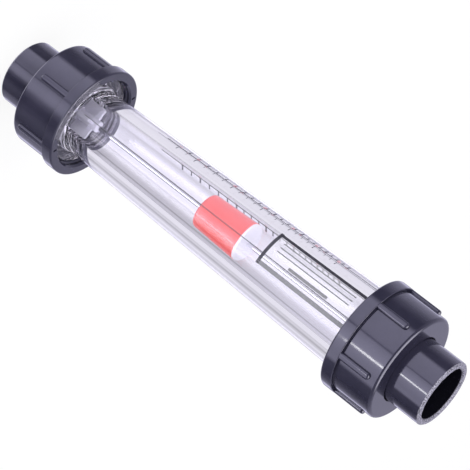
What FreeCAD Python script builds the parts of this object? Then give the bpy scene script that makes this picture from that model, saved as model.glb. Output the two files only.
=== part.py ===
"""A pipe-mounted rotameter: a clear tapered tube with a float on a guide rod, between two unions.

Millimetres. +Z is the direction of flow, and the origin is the centre of the inlet's end face.
The two unions are mirror images, so each piece of a union is written once, for the inlet,
and mirrored about the middle of the meter for the outlet.
"""
import FreeCAD, Part
import math
import os

Vector = FreeCAD.Vector
AXIS = Vector(0, 0, 1)
ORIGIN = Vector(0, 0, 0)

# Whole meter
LENGTH = 312.8
MIDDLE = LENGTH / 2

# Connector: the socket that the pipe is cemented into, with a collar inside the nut
SOCKET_R = 16.1
SOCKET_DEPTH = 22.0
SOCKET_LEAD = 1.1
TAIL_R = 20.0
TAIL_BEVEL = 1.0
WATERWAY_R = 13.0
CONNECTOR_COLLAR_R = 27.0
CONNECTOR_COLLAR_H = 6.0
CONNECTOR_COLLAR_BEVEL = 0.6
SEAL_INNER_R = 21.6
SEAL_OUTER_R = 25.0
SEAL_DEPTH = 2.8
SEAL_BULGE = 0.8

# Union nut
NUT_START = 22.6
NUT_H = 32.8
NUT_LIP_H = 4.0
NUT_LIP_R = 20.5
NUT_BORE_R = 28.3
NUT_BODY_R = 32.3
NUT_SHOULDER_ROUND = 2.1
NUT_FLANGE_R = 34.3
NUT_FLANGE_H = 7.6
NUT_FLANGE_BEVEL = 0.7
NUT_MOUTH_CHAMFER = 0.8
RIB_COUNT = 6
RIB_W = 4.2
RIB_R = 34.2
RIB_LENGTH = 19.8
MARK_R = 31.0
MARK_W = 1.3
MARK_LENGTH = 2.4
MARK_DEPTH = 1.2
INLET_NUT_TURN = 54.0
OUTLET_NUT_TURN = 30.0

# Metering tube
TUBE_START = NUT_START + NUT_LIP_H + CONNECTOR_COLLAR_H
TUBE_END = LENGTH - TUBE_START
TUBE_COLLAR_R = 28.0
TUBE_COLLAR_H = 18.6
TUBE_COLLAR_BEVEL = 0.8
TUBE_ROOT_BEVEL = 1.4
TUBE_INLET_R = 20.3
TUBE_OUTLET_R = 25.35
BORE_INLET_R = 12.5
BORE_OUTLET_R = 16.75
BORE_START = 44.0
SEAT_R = 20.0
SEAT_DEPTH = 8.4

# Guide rod and its holders
ROD_R = 1.5
ROD_OVERHANG = 2.9
HOLDER_R = 19.8
HOLDER_RIM_W = 2.8
HOLDER_HUB_R = 4.5
HOLDER_HUB_H = 10.0
HOLDER_HOLE_R = 1.55
SPOKE_COUNT = 4
SPOKE_W = 2.6
SPOKE_H = 4.0
HUB_BOTTOM = TUBE_START + SEAT_DEPTH - SPOKE_H - 1
HUB_TOP = HUB_BOTTOM + HOLDER_HUB_H
WASHER_R = 3.5
WASHER_H = 0.5
ROD_NUT_FLATS = 5.5
ROD_NUT_H = 2.0

# Float stop: a hub pressed onto the rod, with flat vanes that steady the flow
STOP_HUB_R = 3.4
STOP_TOP = 60.6
STOP_BEVEL = 0.5
VANE_COUNT = 4
VANE_REACH = 10.2
VANE_W = 2.0
VANE_TOP = 57.6
VANE_CORNER = 0.8

# Float
FLOAT_BOTTOM = 142.4
FLOAT_TOP = 175.4
FLOAT_BOTTOM_R = 10.6
FLOAT_TOP_R = 11.9
FLOAT_NOSE_ROUND = 3.0
CAP_H = 1.5
CAP_R = 11.6
CAP_BEVEL = 0.5
CAP_SPIGOT_H = 2.2
BALLAST_INNER_R = 4.0
BALLAST_OUTER_R = 8.9
BALLAST_BOTTOM = 147.3
BALLAST_FIT = 0.1
FLOAT_HOLE_R = 2.0
BUSH_R = 2.9
BUSH_HOLE_R = 1.58
LOWER_BUSH_H = 3.0


def turned(outline):
    """A solid of revolution about Z from a closed outline of (radius, height) points."""
    points = [Vector(radius, 0, height) for radius, height in outline]
    face = Part.Face(Part.makePolygon(points + points[:1]))
    return face.revolve(ORIGIN, AXIS, 360)


def ring(inner, outer, bottom, top):
    """A plain ring with square edges."""
    return turned([(inner, bottom), (outer, bottom), (outer, top), (inner, top)])


def cylinder(radius, bottom, top):
    return Part.makeCylinder(radius, top - bottom, Vector(0, 0, bottom), AXIS)


def circles_at(solid, radius, height):
    """The circular edges about the axis at one radius and height."""
    found = []
    for edge in solid.Edges:
        ends = [math.hypot(v.X, v.Y) - radius for v in edge.Vertexes]
        ends += [v.Z - height for v in edge.Vertexes]
        flat = edge.BoundBox.ZLength < 1e-4
        if flat and max(abs(end) for end in ends) < 1e-3:
            found.append(edge)
    return found


def rounded(solid, size, *places):
    """Fillets the circular edges at the given (radius, height) places."""
    edges = [edge for radius, height in places for edge in circles_at(solid, radius, height)]
    return solid.makeFillet(size, edges)


def chamfered(solid, size, *places):
    """Chamfers the circular edges at the given (radius, height) places."""
    edges = [edge for radius, height in places for edge in circles_at(solid, radius, height)]
    return solid.makeChamfer(size, edges)


def patterned(shape, count):
    """Copies of a shape, evenly turned about the axis."""
    copies = []
    for index in range(count):
        copy = shape.copy()
        copy.rotate(ORIGIN, AXIS, 360 * index / count)
        copies.append(copy)
    return copies


def at_outlet(shape):
    """The same piece at the other end of the meter."""
    return shape.mirror(Vector(0, 0, MIDDLE), AXIS)


def connector():
    """A pipe socket with a stop, a waterway, and a collar with a groove for the face seal."""
    collar_bottom = NUT_START + NUT_LIP_H
    solid = turned([
        (SOCKET_R, 0),
        (TAIL_R, 0),
        (TAIL_R, collar_bottom),
        (CONNECTOR_COLLAR_R, collar_bottom),
        (CONNECTOR_COLLAR_R, TUBE_START),
        (SEAL_OUTER_R, TUBE_START),
        (SEAL_OUTER_R, TUBE_START - SEAL_DEPTH),
        (SEAL_INNER_R, TUBE_START - SEAL_DEPTH),
        (SEAL_INNER_R, TUBE_START),
        (WATERWAY_R, TUBE_START),
        (WATERWAY_R, SOCKET_DEPTH),
        (SOCKET_R, SOCKET_DEPTH),
    ])
    solid = chamfered(solid, SOCKET_LEAD, (SOCKET_R, 0))
    solid = chamfered(solid, TAIL_BEVEL, (TAIL_R, 0))
    return chamfered(solid, CONNECTOR_COLLAR_BEVEL, (CONNECTOR_COLLAR_R, TUBE_START))


def face_seal():
    """An O-ring squeezed flat on both faces between the connector and the tube."""
    bottom = TUBE_START - SEAL_DEPTH
    middle = TUBE_START - SEAL_DEPTH / 2
    return turned([
        (SEAL_INNER_R + SEAL_BULGE, bottom),
        (SEAL_OUTER_R - SEAL_BULGE, bottom),
        (SEAL_OUTER_R, middle),
        (SEAL_OUTER_R - SEAL_BULGE, TUBE_START),
        (SEAL_INNER_R + SEAL_BULGE, TUBE_START),
        (SEAL_INNER_R, middle),
    ])


def nut_shell():
    """The turned form of the nut: a lip behind the connector's collar, a body and a flange."""
    top = NUT_START + NUT_H
    flange_bottom = top - NUT_FLANGE_H
    solid = turned([
        (NUT_LIP_R, NUT_START),
        (NUT_BODY_R, NUT_START),
        (NUT_BODY_R, flange_bottom),
        (NUT_FLANGE_R, flange_bottom),
        (NUT_FLANGE_R, top),
        (NUT_BORE_R, top),
        (NUT_BORE_R, NUT_START + NUT_LIP_H),
        (NUT_LIP_R, NUT_START + NUT_LIP_H),
    ])
    solid = rounded(solid, NUT_SHOULDER_ROUND, (NUT_BODY_R, NUT_START))
    solid = chamfered(solid, NUT_FLANGE_BEVEL, (NUT_FLANGE_R, top), (NUT_FLANGE_R, flange_bottom))
    return chamfered(solid, NUT_MOUTH_CHAMFER, (NUT_BORE_R, top))


def grip_rib():
    """One rib: a bar along the nut's body with a round nose, topped by the flange's own curve."""
    flange_bottom = NUT_START + NUT_H - NUT_FLANGE_H
    nose = flange_bottom - RIB_LENGTH + RIB_W / 2
    bar = Part.makeBox(RIB_R + 1, RIB_W, flange_bottom - nose + 1, Vector(0, -RIB_W / 2, nose))
    tip = Part.makeCylinder(RIB_W / 2, RIB_R + 1, Vector(0, 0, nose), Vector(1, 0, 0))
    rib = bar.fuse(tip).common(ring(NUT_BODY_R - 1, RIB_R, NUT_START, flange_bottom + 1))
    return rib.removeSplitter()


def mark():
    """A small moulding mark sunk in the flange's face."""
    top = NUT_START + NUT_H
    corner = Vector(MARK_R - MARK_LENGTH / 2, -MARK_W / 2, top - MARK_DEPTH)
    return Part.makeBox(MARK_LENGTH, MARK_W, MARK_DEPTH + 1, corner)


def union_nut(turn):
    """The nut with its grip ribs, turned to where it was tightened."""
    solid = nut_shell()
    solid = solid.fuse(patterned(grip_rib(), RIB_COUNT)).removeSplitter()
    solid = solid.cut(Part.makeCompound(patterned(mark(), 2)))
    solid.rotate(ORIGIN, AXIS, turn)
    return solid


def metering_tube():
    """The clear tube: a tapered wall between two collars that the nuts screw onto."""
    inlet_shoulder = TUBE_START + TUBE_COLLAR_H
    outlet_shoulder = TUBE_END - TUBE_COLLAR_H
    bore_end = LENGTH - BORE_START
    inlet_seat = TUBE_START + SEAT_DEPTH
    outlet_seat = TUBE_END - SEAT_DEPTH
    solid = turned([
        (SEAT_R, TUBE_START),
        (TUBE_COLLAR_R, TUBE_START),
        (TUBE_COLLAR_R, inlet_shoulder),
        (TUBE_INLET_R, inlet_shoulder),
        (TUBE_OUTLET_R, outlet_shoulder),
        (TUBE_COLLAR_R, outlet_shoulder),
        (TUBE_COLLAR_R, TUBE_END),
        (SEAT_R, TUBE_END),
        (SEAT_R, outlet_seat),
        (BORE_OUTLET_R + 1, outlet_seat),
        (BORE_OUTLET_R, bore_end),
        (BORE_INLET_R, BORE_START),
        (BORE_INLET_R + 1, inlet_seat),
        (SEAT_R, inlet_seat),
    ])
    roots = [(TUBE_INLET_R, inlet_shoulder), (TUBE_OUTLET_R, outlet_shoulder)]
    solid = chamfered(solid, TUBE_ROOT_BEVEL, *roots)
    rims = [(TUBE_COLLAR_R, height) for height in
            (TUBE_START, inlet_shoulder, outlet_shoulder, TUBE_END)]
    return chamfered(solid, TUBE_COLLAR_BEVEL, *rims)


def rod_holder():
    """A rim clamped in the tube's seat, with spokes to a hub that carries the rod."""
    top = TUBE_START + SEAT_DEPTH
    rim = ring(HOLDER_R - HOLDER_RIM_W, HOLDER_R, TUBE_START, top)
    hub = cylinder(HOLDER_HUB_R, HUB_BOTTOM, HUB_TOP)
    spoke = Part.makeBox(HOLDER_R - 1, SPOKE_W, SPOKE_H, Vector(0, -SPOKE_W / 2, top - SPOKE_H))
    solid = rim.fuse([hub] + patterned(spoke, SPOKE_COUNT)).removeSplitter()
    return solid.cut(cylinder(HOLDER_HOLE_R, HUB_BOTTOM - 1, HUB_TOP + 1))


def rod_washer():
    return ring(HOLDER_HOLE_R, WASHER_R, HUB_BOTTOM - WASHER_H, HUB_BOTTOM)


def rod_nut():
    """A plain hexagonal nut at the end of the rod."""
    top = HUB_BOTTOM - WASHER_H
    corner_r = ROD_NUT_FLATS / 2 / math.cos(math.pi / 6)
    corners = []
    for index in range(7):
        angle = math.pi / 3 * index
        corners.append(Vector(corner_r * math.cos(angle), corner_r * math.sin(angle), top))
    prism = Part.Face(Part.makePolygon(corners)).extrude(Vector(0, 0, -ROD_NUT_H))
    return prism.cut(cylinder(ROD_R, top - ROD_NUT_H - 1, top + 1))


def guide_rod():
    """The rod that the float rides on, from one rod nut to the other."""
    bottom = HUB_BOTTOM - ROD_OVERHANG
    rod = cylinder(ROD_R, bottom, LENGTH - bottom)
    return chamfered(rod, ROD_R / 3, (ROD_R, bottom), (ROD_R, LENGTH - bottom))


def float_stop():
    """The vaned hub that the float comes to rest on."""
    vane = Part.Face(Part.makePolygon([
        Vector(0, -VANE_W / 2, HUB_TOP),
        Vector(VANE_REACH, -VANE_W / 2, HUB_TOP),
        Vector(VANE_REACH, -VANE_W / 2, VANE_TOP - VANE_CORNER),
        Vector(VANE_REACH - VANE_CORNER, -VANE_W / 2, VANE_TOP),
        Vector(0, -VANE_W / 2, VANE_TOP),
        Vector(0, -VANE_W / 2, HUB_TOP),
    ])).extrude(Vector(0, VANE_W, 0))
    hub = chamfered(cylinder(STOP_HUB_R, HUB_TOP, STOP_TOP), STOP_BEVEL, (STOP_HUB_R, STOP_TOP))
    solid = hub.fuse(patterned(vane, VANE_COUNT)).removeSplitter()
    return solid.cut(cylinder(ROD_R, HUB_TOP - 1, STOP_TOP + 1))


def float_shell():
    """The moulded float: a cup that widens to its reading edge, with a centre tube for the rod."""
    cap_bottom = FLOAT_TOP - CAP_H
    tube_top = cap_bottom - CAP_SPIGOT_H - 1
    bush_top = FLOAT_BOTTOM + LOWER_BUSH_H
    solid = turned([
        (BUSH_R, FLOAT_BOTTOM),
        (FLOAT_BOTTOM_R, FLOAT_BOTTOM),
        (FLOAT_TOP_R, cap_bottom),
        (BALLAST_OUTER_R, cap_bottom),
        (BALLAST_OUTER_R, BALLAST_BOTTOM),
        (BALLAST_INNER_R, BALLAST_BOTTOM),
        (BALLAST_INNER_R, tube_top),
        (FLOAT_HOLE_R, tube_top),
        (FLOAT_HOLE_R, bush_top),
        (BUSH_R, bush_top),
    ])
    return rounded(solid, FLOAT_NOSE_ROUND, (FLOAT_BOTTOM_R, FLOAT_BOTTOM))


def ballast():
    """A metal ring that sets the float's weight."""
    top = FLOAT_TOP - CAP_H - CAP_SPIGOT_H
    return ring(BALLAST_INNER_R + BALLAST_FIT, BALLAST_OUTER_R - BALLAST_FIT, BALLAST_BOTTOM, top)


def float_cap():
    """The lid over the ballast, with a spigot down into the cup."""
    bottom = FLOAT_TOP - CAP_H
    spigot_bottom = bottom - CAP_SPIGOT_H
    solid = turned([
        (BUSH_R, spigot_bottom),
        (BALLAST_OUTER_R - BALLAST_FIT, spigot_bottom),
        (BALLAST_OUTER_R - BALLAST_FIT, bottom),
        (CAP_R, bottom),
        (CAP_R, FLOAT_TOP),
        (BUSH_R, FLOAT_TOP),
    ])
    return chamfered(solid, CAP_BEVEL, (CAP_R, FLOAT_TOP))


def lower_bush():
    return ring(BUSH_HOLE_R, BUSH_R, FLOAT_BOTTOM, FLOAT_BOTTOM + LOWER_BUSH_H)


def upper_bush():
    return ring(BUSH_HOLE_R, BUSH_R, FLOAT_TOP - CAP_H - CAP_SPIGOT_H, FLOAT_TOP)


def nodes():
    """Every piece of the meter by name."""
    return {
        "metering_tube": metering_tube(),
        "guide_rod": guide_rod(),
        "inlet_rod_holder": rod_holder(),
        "outlet_rod_holder": at_outlet(rod_holder()),
        "inlet_rod_washer": rod_washer(),
        "outlet_rod_washer": at_outlet(rod_washer()),
        "inlet_rod_nut": rod_nut(),
        "outlet_rod_nut": at_outlet(rod_nut()),
        "inlet_float_stop": float_stop(),
        "outlet_float_stop": at_outlet(float_stop()),
        "float_shell": float_shell(),
        "float_ballast": ballast(),
        "float_cap": float_cap(),
        "float_lower_bush": lower_bush(),
        "float_upper_bush": upper_bush(),
        "inlet_connector": connector(),
        "outlet_connector": at_outlet(connector()),
        "inlet_o_ring": face_seal(),
        "outlet_o_ring": at_outlet(face_seal()),
        "inlet_union_nut": union_nut(INLET_NUT_TURN),
        "outlet_union_nut": at_outlet(union_nut(OUTLET_NUT_TURN)),
    }


def main():
    os.makedirs("parts", exist_ok=True)
    for name, shape in nodes().items():
        solids = shape.Solids
        volume = sum(solid.Volume for solid in solids)
        print(f"{name}: solids {len(solids)}, valid {shape.isValid()}, {volume / 1000:.2f} cm3")
        shape.exportStep(f"parts/{name}.step")


main()
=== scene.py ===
"""Dresses a pipe-mounted rotameter: a clear tapered tube, a float on its rod, and two unions.

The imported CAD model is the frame. Every piece here is in metres in that frame: +Z is the
direction of flow, and the origin is the centre of the inlet's end face.
"""

import logging
import math
from collections.abc import Iterable, Sequence
from dataclasses import dataclass
from enum import Enum

import bmesh
import bpy
from mathutils import Matrix, Vector


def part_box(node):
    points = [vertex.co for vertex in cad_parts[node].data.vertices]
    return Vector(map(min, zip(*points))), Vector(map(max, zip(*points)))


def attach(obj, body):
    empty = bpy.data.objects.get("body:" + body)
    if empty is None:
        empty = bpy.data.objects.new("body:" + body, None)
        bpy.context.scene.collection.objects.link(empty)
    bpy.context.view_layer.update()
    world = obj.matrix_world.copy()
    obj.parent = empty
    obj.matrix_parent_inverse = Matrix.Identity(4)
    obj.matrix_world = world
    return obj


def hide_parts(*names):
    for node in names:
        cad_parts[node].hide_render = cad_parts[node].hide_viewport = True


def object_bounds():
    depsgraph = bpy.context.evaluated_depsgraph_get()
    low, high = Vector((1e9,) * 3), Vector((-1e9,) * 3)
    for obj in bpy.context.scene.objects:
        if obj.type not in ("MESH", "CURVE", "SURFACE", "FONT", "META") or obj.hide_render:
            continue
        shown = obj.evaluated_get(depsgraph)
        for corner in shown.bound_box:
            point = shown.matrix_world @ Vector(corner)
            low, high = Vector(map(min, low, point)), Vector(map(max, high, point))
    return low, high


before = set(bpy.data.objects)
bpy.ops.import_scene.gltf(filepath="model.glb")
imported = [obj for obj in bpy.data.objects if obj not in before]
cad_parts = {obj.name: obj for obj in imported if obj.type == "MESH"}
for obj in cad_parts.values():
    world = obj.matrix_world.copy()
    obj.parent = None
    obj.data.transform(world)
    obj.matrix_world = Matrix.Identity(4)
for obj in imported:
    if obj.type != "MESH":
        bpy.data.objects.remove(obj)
CAD_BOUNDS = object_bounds()

LOG = logging.getLogger("rotameter")
MM = 0.001
TURN = 2 * math.pi
LENGTH = CAD_BOUNDS[1][2]
SHARP_DEG = 35.0
WELD = 1e-7


# ---------------------------------------------------------------- shader maths


class Value:
    """A number in a shader: a socket whose Python operators add Math nodes."""

    def __init__(self, shader: "Shader", socket: bpy.types.NodeSocket) -> None:
        """Wraps a socket of a shader's node tree."""
        self.shader = shader
        self.socket = socket

    def _math(self, operation: str, *terms: "Value | float") -> "Value":
        """Adds a Math node on the terms.

        Args:
            operation: The Math node's operation.
            terms: Its inputs in order.

        Returns:
            The node's output.
        """
        node = self.shader.node("ShaderNodeMath", {"operation": operation}, dict(enumerate(terms)))
        return Value(self.shader, node.outputs[0])

    def __add__(self, other: "Value | float") -> "Value":
        """Self plus other."""
        return self._math("ADD", self, other)

    __radd__ = __add__

    def __sub__(self, other: "Value | float") -> "Value":
        """Self minus other."""
        return self._math("SUBTRACT", self, other)

    def __rsub__(self, other: float) -> "Value":
        """Other minus self."""
        return self._math("SUBTRACT", other, self)

    def __mul__(self, other: "Value | float") -> "Value":
        """Self times other."""
        return self._math("MULTIPLY", self, other)

    __rmul__ = __mul__

    def __truediv__(self, other: "Value | float") -> "Value":
        """Self divided by other."""
        return self._math("DIVIDE", self, other)

    def __pow__(self, other: float) -> "Value":
        """Self to a power."""
        return self._math("POWER", self, other)

    def hypot(self, other: "Value") -> "Value":
        """The length of a vector with self and other as its sides."""
        return (self * self + other * other) ** 0.5

    def angle(self, other: "Value") -> "Value":
        """The angle whose sine goes with self and cosine with other."""
        return self._math("ARCTAN2", self, other)

    def sine(self) -> "Value":
        """The sine of self in radians."""
        return self._math("SINE", self)

    def step(self, low: float, high: float) -> "Value":
        """Smoothly 0 below low and 1 above high."""
        settings = {"interpolation_type": "SMOOTHSTEP"}
        inputs = {"Value": self, "From Min": low, "From Max": high}
        node = self.shader.node("ShaderNodeMapRange", settings, inputs)
        return Value(self.shader, node.outputs[0])


class Shader:
    """A node tree being written, for a material or the world."""

    def __init__(self, owner: bpy.types.ID) -> None:
        """Empties the owner's tree.

        Args:
            owner: A material or a world.
        """
        owner.use_nodes = True
        self.tree = owner.node_tree
        self.tree.nodes.clear()

    def node(self, kind: str, settings: dict | None = None,
             inputs: dict | None = None) -> bpy.types.Node:
        """Adds a node.

        Args:
            kind: The node's type.
            settings: Its properties, set first. A ramp's stops go under "stops".
            inputs: Values or links by socket name or number.

        Returns:
            The node.
        """
        made = self.tree.nodes.new(kind)
        for name, value in (settings or {}).items():
            if name == "stops":
                self._set_stops(made, value)
            else:
                setattr(made, name, value)
        for key, value in (inputs or {}).items():
            self._feed(made.inputs[key], value)
        return made

    def _set_stops(self, ramp: bpy.types.Node, stops: Sequence[tuple]) -> None:
        """Writes a colour ramp's stops as (place, colour)."""
        elements = ramp.color_ramp.elements
        elements.remove(elements[1])
        elements[0].position = stops[0][0]
        elements[0].color = (*stops[0][1], 1.0)
        for place, colour in stops[1:]:
            elements.new(place).color = (*colour, 1.0)

    def _feed(self, socket: bpy.types.NodeSocket, value: object) -> None:
        """Links a socket or Value, or sets a plain value."""
        if isinstance(value, Value):
            value = value.socket
        if isinstance(value, bpy.types.NodeSocket):
            self.tree.links.new(value, socket)
        elif isinstance(value, tuple) and len(value) == 3 and socket.type == "RGBA":
            socket.default_value = (*value, 1.0)
        else:
            socket.default_value = value

    def value(self, node: bpy.types.Node, output: str | int = 0) -> Value:
        """One output of a node as a Value."""
        return Value(self, node.outputs[output])

    def place(self) -> tuple[Value, Value, Value]:
        """The object coordinates as three Values."""
        place = self.node("ShaderNodeTexCoord").outputs["Object"]
        parts = self.node("ShaderNodeSeparateXYZ", inputs={0: place})
        return tuple(self.value(parts, name) for name in "XYZ")

    def noise(self, scale: float, detail: float = 2.0, stretch: tuple = (1.0, 1.0, 1.0)) -> Value:
        """Noise on the object's own coordinates.

        Args:
            scale: Waves per metre.
            detail: Octaves.
            stretch: How much faster the noise runs along each axis.

        Returns:
            The noise, around 0.5.
        """
        place = self.node("ShaderNodeTexCoord").outputs["Object"]
        mapped = self.node("ShaderNodeMapping", inputs={"Vector": place, "Scale": stretch})
        inputs = {"Vector": mapped.outputs[0], "Scale": scale, "Detail": detail}
        return self.value(self.node("ShaderNodeTexNoise", inputs=inputs), "Fac")

    def mix(self, factor: Value | float, first: object, second: object) -> bpy.types.NodeSocket:
        """A colour between first and second."""
        node = self.node("ShaderNodeMix", {"data_type": "RGBA"}, {"Factor": factor})
        self._feed(node.inputs[6], first)
        self._feed(node.inputs[7], second)
        return node.outputs[2]

    def bump(self, height: Value, distance: float) -> bpy.types.NodeSocket:
        """A normal from a height that is 0 to 1 over a distance in metres."""
        inputs = {"Height": height, "Distance": distance, "Strength": 1.0}
        return self.node("ShaderNodeBump", inputs=inputs).outputs[0]

    def surface(self, **inputs: object) -> bpy.types.NodeSocket:
        """A Principled shader; a word's underscores stand for spaces."""
        named = {name.replace("_", " "): value for name, value in inputs.items()}
        return self.node("ShaderNodeBsdfPrincipled", inputs=named).outputs[0]

    def finish(self, surface: bpy.types.NodeSocket, kind: str = "ShaderNodeOutputMaterial") -> None:
        """Ends the tree with an output node."""
        self.node(kind, inputs={"Surface": surface})


# ---------------------------------------------------------------- finishes


@dataclass(frozen=True)
class Finish:
    """A finish: its name, the record's slot that it stands for, and its nodes."""

    name: str
    slot: str

    def nodes(self, shader: Shader) -> None:
        """Writes the finish into a shader."""
        raise NotImplementedError

    def material(self) -> bpy.types.Material:
        """The finish as a material, made once."""
        found = bpy.data.materials.get(self.name)
        if found is None:
            found = bpy.data.materials.new(self.name)
            self.nodes(Shader(found))
        return found


@dataclass(frozen=True)
class ClearPlastic(Finish):
    """Polished clear moulding with faint flow marks, and a trace of violet in its depth."""

    tint: tuple = (0.98, 0.97, 1.0)
    cloudy: tuple = (0.965, 0.955, 0.995)
    roughness: float = 0.0
    ior: float = 1.49
    flow_scale: float = 90.0
    flow_height: float = 0.00001
    tone_scale: float = 30.0
    shadow: tuple = (0.97, 0.97, 0.985)

    def nodes(self, shader: Shader) -> None:
        """Clear plastic that lets lamps through to what is inside."""
        flow = shader.noise(self.flow_scale, 1.0, (1.0, 1.0, 0.12))
        tone = shader.noise(self.tone_scale)
        colour = shader.mix(tone.step(0.3, 0.7), self.tint, self.cloudy)
        surface = shader.surface(
            Base_Color=colour,
            Roughness=self.roughness,
            IOR=self.ior,
            Transmission_Weight=1.0,
            Normal=shader.bump(flow, self.flow_height),
        )
        path = shader.node("ShaderNodeLightPath")
        soft = shader.value(path, "Is Shadow Ray") + shader.value(path, "Is Diffuse Ray")
        through = shader.node("ShaderNodeBsdfTransparent", inputs={"Color": self.shadow})
        layers = {0: soft, 1: surface, 2: through.outputs[0]}
        both = shader.node("ShaderNodeMixShader", inputs=layers)
        shader.finish(both.outputs[0])


@dataclass(frozen=True)
class DarkPlastic(Finish):
    """Dark grey moulded plastic with a satin gloss, a painted highlight on its matt rim, and
    painted shade in its socket.
    """

    colour: tuple = (0.022, 0.021, 0.040)
    worn: tuple = (0.029, 0.027, 0.049)
    # Painted highlight: pale speckles on the matt rim at either end.
    rim: tuple = (0.36, 0.35, 0.42)
    pit: tuple = (0.03, 0.028, 0.04)
    # Painted shade: the near black of the pipe socket's bore.
    inside: tuple = (0.004, 0.004, 0.006)
    roughness: float = 0.10
    speckle_scale: float = 1500.0
    mottle_scale: float = 60.0
    grain_scale: float = 1800.0
    scuff_scale: float = 240.0
    grain_height: float = 0.00001
    rim_depth: float = 1.3 * MM
    socket_r: float = 16.6 * MM
    socket_edge: float = 0.6 * MM

    def nodes(self, shader: Shader) -> None:
        """Mottled base, fine grain, the matt rim at either end with a painted highlight, and
        painted shade in the socket.
        """
        east, north, height = shader.place()
        # Painted shade: the colour goes near black inside the pipe socket's radius.
        beyond_socket_shade = east.hypot(north).step(self.socket_r - self.socket_edge, self.socket_r)
        middle = LENGTH / 2
        from_middle = ((height - middle) ** 2.0) ** 0.5
        # The rim at either end is matt and bumpy, and its pale speckles are a painted highlight.
        rim = from_middle.step(middle - self.rim_depth, middle - self.rim_depth * 0.6)
        speckle = shader.noise(self.speckle_scale, 4.0).step(0.40, 0.60)
        mottle = shader.noise(self.mottle_scale, 3.0).step(0.35, 0.7)
        grain = shader.noise(self.grain_scale, 2.0)
        base = shader.mix(mottle, self.colour, self.worn)
        speckled_rim_highlight = shader.mix(speckle, self.pit, self.rim)
        scuff = shader.noise(self.scuff_scale, 4.0).step(0.55, 0.8)
        surface = shader.surface(
            Base_Color=shader.mix(beyond_socket_shade, self.inside, shader.mix(rim, base, speckled_rim_highlight)),
            Roughness=self.roughness + scuff * 0.06 + rim * 0.4,
            IOR=1.54,
            Normal=shader.bump(grain * 0.15 + speckle * rim * 4.0, self.grain_height),
        )
        shader.finish(surface)


@dataclass(frozen=True)
class RedPlastic(Finish):
    """Glossy red plastic of the float."""

    colour: tuple = (0.92, 0.15, 0.14)
    deep: tuple = (0.90, 0.125, 0.115)
    roughness: float = 0.06
    cloud_scale: float = 70.0
    mark_scale: float = 900.0
    mark_height: float = 0.00001

    def nodes(self, shader: Shader) -> None:
        """Red with slight cloudiness and turning marks round the axis."""
        cloud = shader.noise(self.cloud_scale, 2.0).step(0.3, 0.75)
        marks = shader.noise(self.mark_scale, 2.0, (0.05, 0.05, 1.0))
        surface = shader.surface(
            Base_Color=shader.mix(cloud, self.colour, self.deep),
            Roughness=self.roughness + cloud * 0.04,
            IOR=1.5,
            Normal=shader.bump(marks, self.mark_height),
        )
        shader.finish(surface)


@dataclass(frozen=True)
class WhitePlastic(Finish):
    """White plastic of the cap and bushes, and of the holders and stops in a greyer tone of painted
    shade.
    """

    colour: tuple = (0.90, 0.885, 0.95)
    shade: tuple = (0.86, 0.845, 0.92)
    roughness: float = 0.3
    cloud_scale: float = 120.0
    grain_scale: float = 1500.0
    grain_height: float = 0.00001

    def nodes(self, shader: Shader) -> None:
        """White with slight cloudiness and a fine moulded grain."""
        cloud = shader.noise(self.cloud_scale, 2.0).step(0.3, 0.7)
        surface = shader.surface(
            Base_Color=shader.mix(cloud, self.colour, self.shade),
            Roughness=self.roughness + cloud * 0.1,
            IOR=1.5,
            Normal=shader.bump(shader.noise(self.grain_scale), self.grain_height),
        )
        shader.finish(surface)


@dataclass(frozen=True)
class DrawnSteel(Finish):
    """Bright drawn steel with fine lines along the rod."""

    colour: tuple = (0.86, 0.86, 0.89)
    streak_tone: tuple = (0.76, 0.76, 0.79)
    roughness: float = 0.05
    streak_scale: float = 3000.0
    streak_height: float = 0.000004

    def nodes(self, shader: Shader) -> None:
        """Metal with streaks along Z."""
        streak = shader.noise(self.streak_scale, 2.0, (1.0, 1.0, 0.02))
        surface = shader.surface(
            Base_Color=shader.mix(streak, self.colour, self.streak_tone),
            Metallic=1.0,
            Roughness=self.roughness + streak * 0.06,
            Normal=shader.bump(streak, self.streak_height),
        )
        shader.finish(surface)


@dataclass(frozen=True)
class BlackRubber(Finish):
    """Matt black rubber of the face seals."""

    colour: tuple = (0.02, 0.02, 0.021)
    bloom_tone: tuple = (0.05, 0.05, 0.052)
    bloom_scale: float = 400.0

    def nodes(self, shader: Shader) -> None:
        """Rubber with a slight bloom."""
        bloom = shader.noise(self.bloom_scale, 3.0).step(0.4, 0.8)
        surface = shader.surface(
            Base_Color=shader.mix(bloom, self.colour, self.bloom_tone),
            Roughness=bloom * 0.2 + 0.55,
        )
        shader.finish(surface)


@dataclass(frozen=True)
class Ink(Finish):
    """Screen-printed ink, slightly uneven in its cover."""

    colour: tuple = (0.02, 0.02, 0.025)
    thin: tuple = (0.06, 0.058, 0.07)
    cover_scale: float = 900.0

    def nodes(self, shader: Shader) -> None:
        """Ink that thins out in places."""
        cover = shader.noise(self.cover_scale, 3.0).step(0.4, 0.75)
        surface = shader.surface(
            Base_Color=shader.mix(cover, self.colour, self.thin),
            Roughness=cover * 0.15 + 0.4,
        )
        shader.finish(surface)


@dataclass(frozen=True)
class LabelFilm(Finish):
    """Thin milky film that carries the printed frame."""

    colour: tuple = (0.96, 0.96, 0.98)
    cloudy: tuple = (0.92, 0.92, 0.95)
    cloud_scale: float = 200.0
    roughness: float = 0.35
    cover: float = 0.14

    def nodes(self, shader: Shader) -> None:
        """A see-through white film."""
        cloud = shader.noise(self.cloud_scale, 2.0).step(0.3, 0.7)
        surface = shader.surface(
            Base_Color=shader.mix(cloud, self.colour, self.cloudy),
            Roughness=self.roughness,
            Alpha=self.cover,
        )
        shader.finish(surface)


CLEAR = ClearPlastic("polished_clear", "clear_plastic")
DARK = DarkPlastic("dark_moulding", "dark_plastic")
RED = RedPlastic("red_moulding", "red_plastic")
WHITE = WhitePlastic("white_moulding", "white_plastic")
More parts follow.
